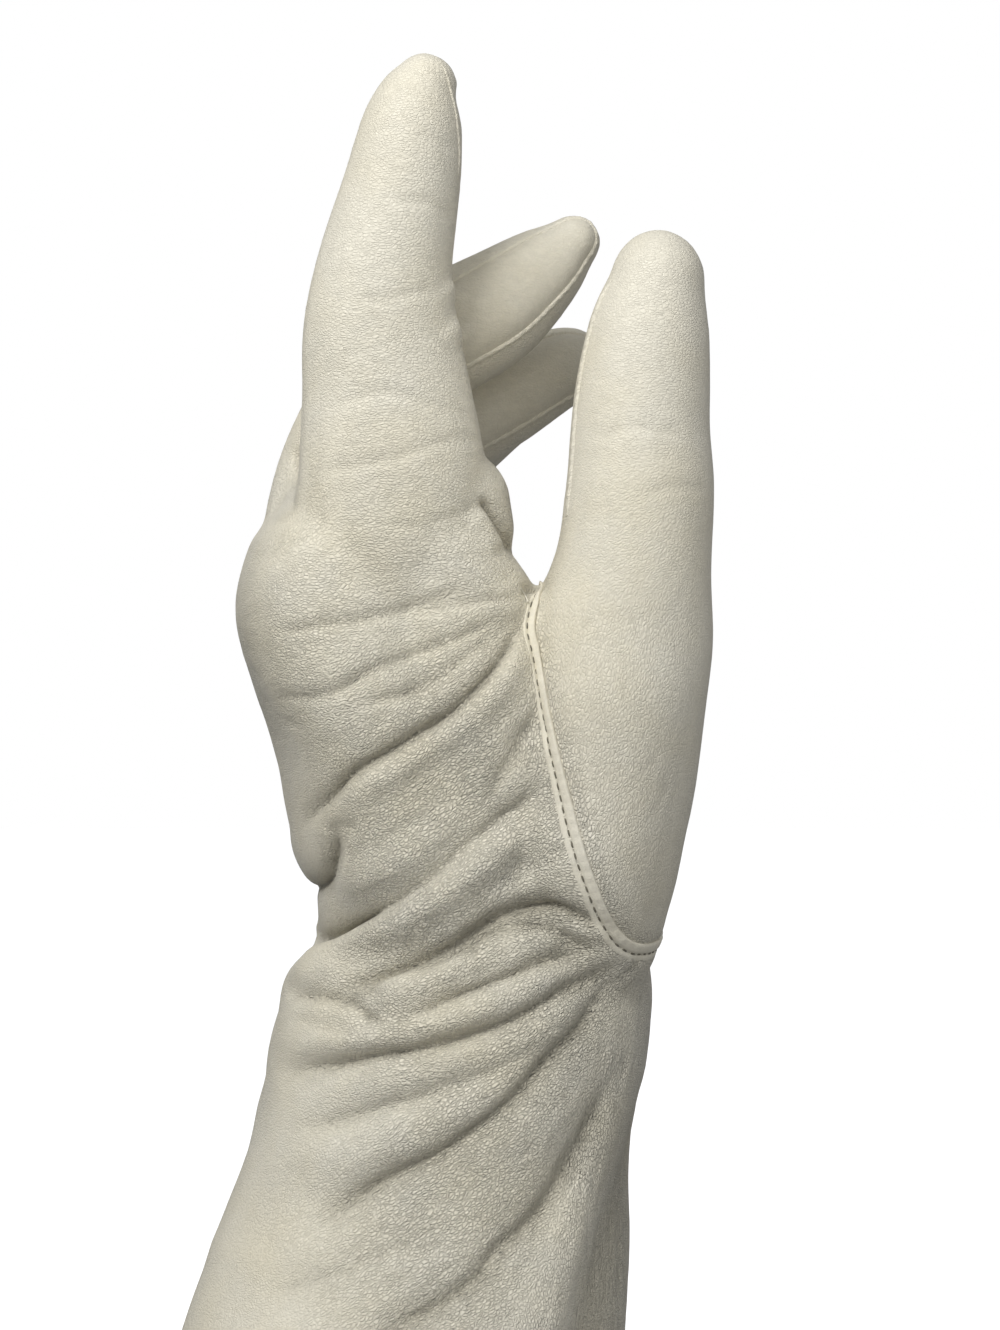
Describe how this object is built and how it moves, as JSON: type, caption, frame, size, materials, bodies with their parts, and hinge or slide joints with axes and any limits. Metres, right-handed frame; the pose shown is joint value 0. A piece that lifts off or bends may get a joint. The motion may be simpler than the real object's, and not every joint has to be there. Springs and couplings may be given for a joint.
{
  "type": "leather dress glove",
  "caption": "Left-hand cream leather dress glove with a long gathered cuff, set-in welted thumb and gusseted fingers, held in its worn shape.",
  "frame": {"origin": "centre of the cuff's opening, in the plane of the hem", "axes": "+Z from the cuff's opening towards the index fingertip, +X the way the palm and the bent fingers face, +Y from the index finger to the little finger"},
  "size_m": [0.1013, 0.0934, 0.2533],
  "materials": {
    "leather": "satin cream lambskin",
    "gusset_leather": "satin cream lambskin, a shade darker",
    "thread": "matt twisted sewing thread",
    "knit": "soft knitted cashmere"
  },
  "bodies": {
    "root": {"hand_and_cuff": "leather", "thumb": "leather", "thumb_welt": "leather", "gusset_index_middle": "gusset_leather", "gusset_middle_ring": "gusset_leather", "gusset_ring_little": "gusset_leather"}
  },
  "joints": []
}
